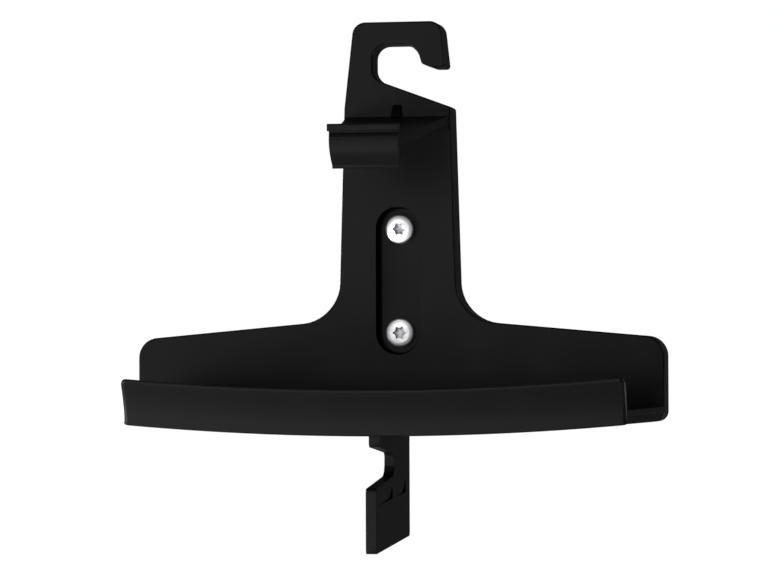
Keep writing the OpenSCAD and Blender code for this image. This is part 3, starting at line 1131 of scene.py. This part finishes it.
def star_solid(screw):
    """The six-pointed recess in a head, as the shape that is cut out of it."""
    # Six points with six waists between them
    corners = 12
    corner_round = 0.22 * MM
    bm = bmesh.new()
    bmesh.ops.create_circle(bm, cap_ends=True, segments=corners, radius=screw.star / 2)
    for vert in bm.verts:
        turn = round(math.atan2(vert.co.y, vert.co.x) / (2 * math.pi / corners))
        if turn % 2:
            vert.co *= screw.waist / screw.star
    bevel(bm, bm.verts[:], corner_round, 3, "VERTICES")
    floor = screw.head_height - screw.star_depth
    bmesh.ops.translate(bm, verts=bm.verts[:], vec=(0, 0, floor))
    thicken(bm, (0, 0, screw.star_depth + LAP))
    low = [f for f in bm.faces if all(near(v.co.z, floor) for v in f.verts)]
    bmesh.ops.poke(bm, faces=low, offset=screw.star_cone)
    return bm


def shank_solid(plate, pocket, screw):
    """The plain part and the thread's core, spun from a line, with its point."""
    plain_end = pocket_floor(plate, pocket) - screw.thread_gap
    in_head = 0.5 * MM
    # The shoulder from the plain part down to the core runs from above its end to below it
    above, below = 0.4 * MM, 0.2 * MM
    # The core tapers over this share of the point, to a tip of this radius
    taper, tip = 0.8, 0.15 * MM
    line = [
        (0, in_head),
        (screw.plain / 2, in_head),
        (screw.plain / 2, plain_end + above),
        (screw.root / 2, plain_end - below),
        (screw.root / 2, -screw.long + screw.point * taper),
        (tip, -screw.long),
        (0, -screw.long),
    ]
    bm = bmesh.new()
    verts = [bm.verts.new((r, 0, z)) for r, z in line]
    for pair in zip(verts, verts[1:]):
        bm.edges.new(pair)
    spin_round(bm, steps=32)
    return bm


def thread_solid(plate, pocket, screw):
    """The thread: a three-sided ridge spun along the shank, which fades in and out."""
    bare_tip = 0.6 * MM
    top, bottom = pocket_floor(plate, pocket) - screw.thread_gap, -screw.long + bare_tip
    core, crest = screw.root / 2, screw.thread / 2
    # Half the ridge's width where it stands on the core
    base = 0.36 * screw.pitch
    # Its foot lies inside the core, and at its upper end the crest fades to inside it as well
    foot, faded = core * 0.8, core * 0.9
    fade_length = 0.5 * screw.pitch
    # On the point the crest keeps to this share of an even taper
    tight = 0.97
    # Steps in one turn
    steps = 24
    turns = (top - bottom - 2 * base) / screw.pitch
    count = int(turns * steps)
    bm = bmesh.new()
    profile = [(foot, base), (crest, 0.0), (foot, -base)]
    start = bm.faces.new([bm.verts.new((r, 0, top - base + z)) for r, z in profile])
    spin(bm, [start], 2 * math.pi * count / steps, count, fall=screw.pitch / steps)
    for vert in bm.verts:
        off = math.hypot(vert.co.x, vert.co.y)
        limit = crest
        share = (vert.co.z + screw.long) / screw.point
        if share < 1:
            limit = crest * share * tight
        fade = min(1, max(0, (top - vert.co.z) / fade_length))
        limit = min(limit, faded + (crest - faded) * fade)
        if off > limit:
            vert.co.x *= limit / off
            vert.co.y *= limit / off
    bmesh.ops.recalc_face_normals(bm, faces=bm.faces[:])
    return bm


class BRACKET_OT_screws(Operator):
    """Builds the two pan-head screws with their star recesses and threads"""

    bl_idname = "bracket.screws"
    bl_label = "Mounting screws"

    def execute(self, context):
        bracket = context.scene.bracket
        plate, pocket, screw = bracket.plate, bracket.pocket, bracket.screw
        head = combine(as_object(head_solid(screw), "head"), "DIFFERENCE", star_solid(screw))
        shank = shank_solid(plate, pocket, screw)
        one = gather(take_mesh(head), shank, thread_solid(plate, pocket, screw))
        floor = pocket_floor(plate, pocket)
        turn = Matrix.Rotation(math.pi / 2, 4, "X")
        both = []
        for side in (-1, 1):
            place = Matrix.Translation((0, floor, side * pocket.screw_gap / 2)) @ turn
            copy = one.copy()
            bmesh.ops.transform(copy, matrix=place, verts=copy.verts[:])
            both.append(copy)
        one.free()
        screws = as_object(gather(*both), "zinc_screws")
        smooth(screws, 40)
        screws.data.materials.clear()
        screws.data.materials.append(plated_steel(bracket.finish, plate, pocket, screw))
        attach(screws, "root")
        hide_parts("mounting_screws")
        return {"FINISHED"}


# Name, azimuth from the front towards the right, elevation, distance, width, watts
SOFTBOXES = (
    ("left_low", -55, -22, 0.9, 0.32, 15.0),
    ("front_left_low", -30, -22, 0.9, 0.32, 1.5),
    ("front_low", -10, -22, 0.9, 0.32, 1.3),
    ("front", -7, 0, 0.9, 0.32, 1.4),
    ("front_high", -12, 22, 0.9, 0.36, 1.4),
    ("top_front", 10, 45, 0.9, 0.32, 0.5),
    ("right_low", 105, -22, 0.9, 0.32, 4.6),
    ("right_high", 105, 22, 0.9, 0.32, 2.8),
    ("back_left", -145, 0, 0.9, 0.16, 4.5),
    ("back_high", 180, 65, 0.9, 0.4, 0.3),
)
# The lamps look at a point a little in front of the wall
LAMP_TARGET = (0, -0.02, 0)
# The camera that sees the bracket's outline as the photograph does, turned in radians
CAMERA_PLACE = (0.2237, -1.1739, -0.0270)
CAMERA_YAW, CAMERA_PITCH, CAMERA_ROLL = 0.19257375, 0.01982246, -0.00350893


def softbox(name, azimuth, elevation, distance, width, watts):
    """A square lamp that looks at the bracket."""
    lamp = bpy.data.lights.new(name, "AREA")
    lamp.shape = "SQUARE"
    lamp.size = width
    lamp.energy = watts
    obj = bpy.data.objects.new(name, lamp)
    obj.matrix_world = (
        Matrix.Translation(LAMP_TARGET)
        @ Matrix.Rotation(math.radians(azimuth), 4, "Z")
        @ Matrix.Rotation(math.radians(90 - elevation), 4, "X")
        @ Matrix.Translation((0, 0, distance))
    )
    bpy.context.scene.collection.objects.link(obj)


def white_background(surround):
    """A world that is white for the camera, and only a weak surround in reflections.

    The bracket's sides are nearly black in the photograph, so little of the white reached them.
    """
    world = bpy.data.worlds.new("studio_world")
    world.use_nodes = True
    tree = world.node_tree
    tree.nodes.clear()
    path = add(tree, "ShaderNodeLightPath")
    strength = 0.0
    for ray, share in (("Camera", 1.0), ("Transmission", 1.0), ("Glossy", surround)):
        is_ray = path.outputs[f"Is {ray} Ray"]
        seen = add(tree, "ShaderNodeMath", {"operation": "MULTIPLY"}, _0=is_ray, _1=share)
        most = add(
            tree, "ShaderNodeMath", {"operation": "MAXIMUM"}, _0=strength, _1=seen.outputs[0]
        )
        strength = most.outputs[0]
    shine = add(tree, "ShaderNodeBackground", Color=(1, 1, 1, 1), Strength=strength)
    add(tree, "ShaderNodeOutputWorld", Surface=shine.outputs[0])
    bpy.context.scene.world = world


def photo_camera(lens):
    """The camera, where the photograph was taken from."""
    camera = bpy.data.cameras.new("camera")
    camera.lens = lens
    camera.sensor_width = 36
    camera.sensor_fit = "HORIZONTAL"
    camera.clip_start = 0.01
    camera.clip_end = 50
    eye = bpy.data.objects.new("camera", camera)
    eye.matrix_world = (
        Matrix.Translation(CAMERA_PLACE)
        @ Matrix.Rotation(CAMERA_YAW, 4, "Z")
        @ Matrix.Rotation(math.pi / 2 + CAMERA_PITCH, 4, "X")
        @ Matrix.Rotation(CAMERA_ROLL, 4, "Z")
    )
    bpy.context.scene.collection.objects.link(eye)
    bpy.context.scene.camera = eye


class BRACKET_OT_studio(Operator):
    """Sets the pale floor, the white background, the lamps and the camera"""

    bl_idname = "bracket.studio"
    bl_label = "Studio"

    def execute(self, context):
        bracket = context.scene.bracket
        studio = bracket.studio
        bm = bmesh.new()
        bmesh.ops.create_circle(bm, cap_ends=True, segments=128, radius=studio.floor_radius)
        bmesh.ops.translate(bm, verts=bm.verts[:], vec=(0, 0, -studio.floor_drop))
        ground = as_object(bm, "studio_floor")
        ground.data.materials.append(studio_paint(bracket.finish))
        white_background(studio.surround)
        for box in SOFTBOXES:
            softbox(*box)
        photo_camera(studio.lens)
        context.scene.view_settings.view_transform = "Standard"
        return {"FINISHED"}


class BRACKET_PT_sidebar(Panel):
    """Lists the operators and all sizes and colours"""

    bl_label = "Charger bracket"
    bl_space_type = "VIEW_3D"
    bl_region_type = "UI"
    bl_category = "Bracket"

    def draw(self, context):
        for operator in OPERATORS:
            self.layout.operator(operator.bl_idname)
        bracket = context.scene.bracket
        for part in BracketSettings.__annotations__:
            box = self.layout.box()
            box.label(text=part.capitalize())
            group = getattr(bracket, part)
            for size in type(group).__annotations__:
                box.prop(group, size)


OPERATORS = (BRACKET_OT_body, BRACKET_OT_screws, BRACKET_OT_studio)
SIZES = (PlateSizes, HookSizes, PocketSizes, TraySizes, ClipSizes, FinSizes, ScrewSizes)
GROUPS = (*SIZES, Finishes, StudioSizes, BracketSettings)
CLASSES = (*GROUPS, *OPERATORS, BRACKET_PT_sidebar)


def register():
    for cls in CLASSES:
        bpy.utils.register_class(cls)
    bpy.types.Scene.bracket = PointerProperty(
        type=BracketSettings, name="Bracket", description="Sizes and finishes of the bracket"
    )


def unregister():
    del bpy.types.Scene.bracket
    for cls in reversed(CLASSES):
        bpy.utils.unregister_class(cls)


def main():
    """Builds everything."""
    register()
    bpy.ops.bracket.body()
    bpy.ops.bracket.screws()
    bpy.ops.bracket.studio()
    bpy.context.view_layer.update()


if __name__ == "__main__":
    main()
